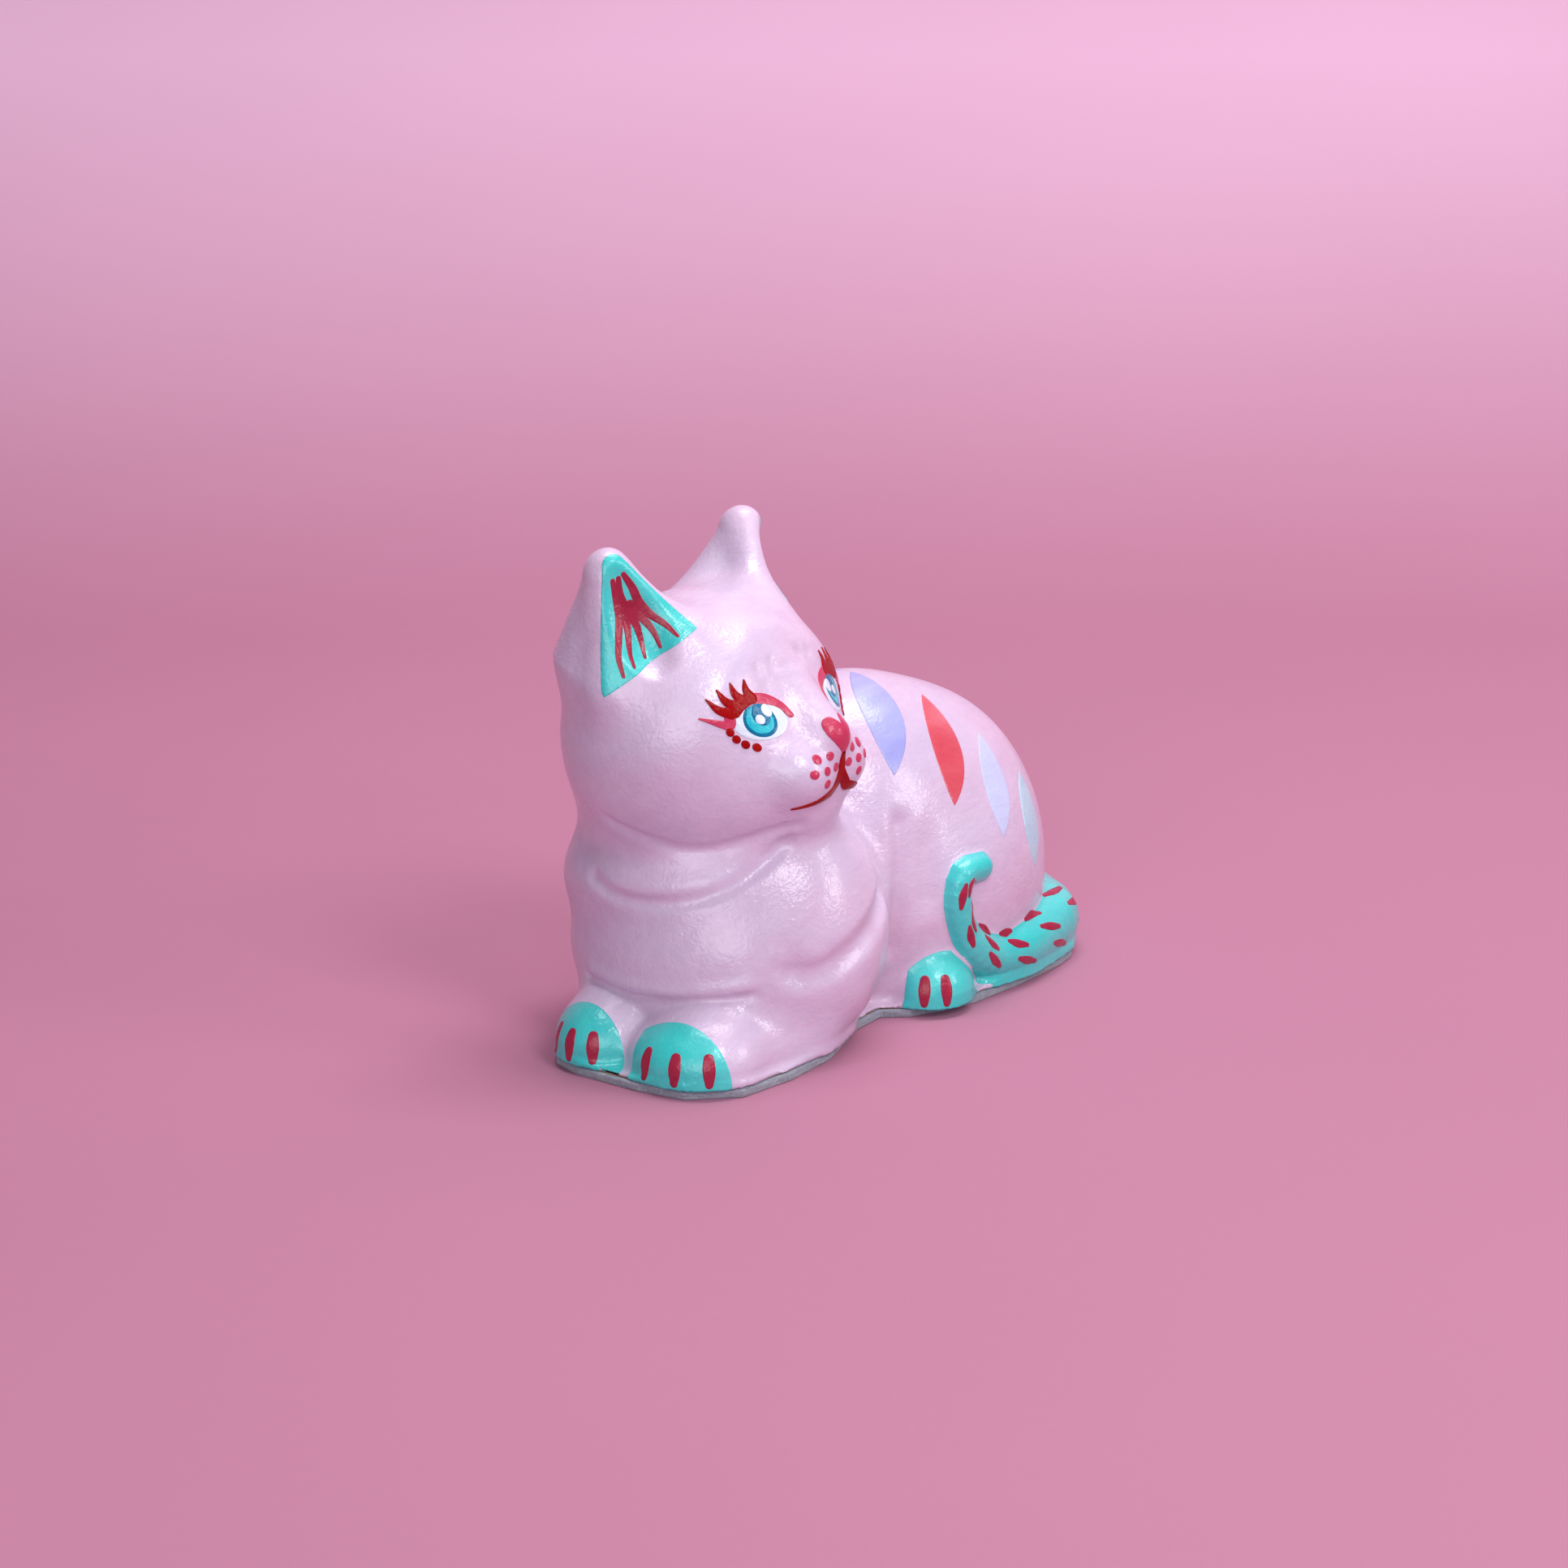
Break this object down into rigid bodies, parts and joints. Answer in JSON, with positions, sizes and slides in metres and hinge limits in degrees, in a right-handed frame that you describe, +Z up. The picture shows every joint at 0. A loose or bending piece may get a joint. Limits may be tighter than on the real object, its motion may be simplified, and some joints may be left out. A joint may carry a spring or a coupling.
{
  "type": "cat figurine",
  "caption": "Hollow cast cat figurine lying with its head turned over one shoulder and its tail curled on its flank, on a cut felt base pad.",
  "frame": {"origin": "middle of the bounding box, on the table under the felt pad", "axes": "+Z up; the cat's body points along -Y, its tail end is +Y and its left side is +X; the face looks along +X"},
  "size_m": [0.1024, 0.207, 0.1565],
  "materials": {
    "painted_ceramic": "satin varnish over brushed lilac-pink paint",
    "adhesive": "dried brown glue, rough",
    "felt": "grey pressed felt, cut edge"
  },
  "bodies": {
    "root": {"cat_shell": "painted_ceramic", "pad_adhesive": "adhesive", "base_pad": "felt"}
  },
  "joints": []
}
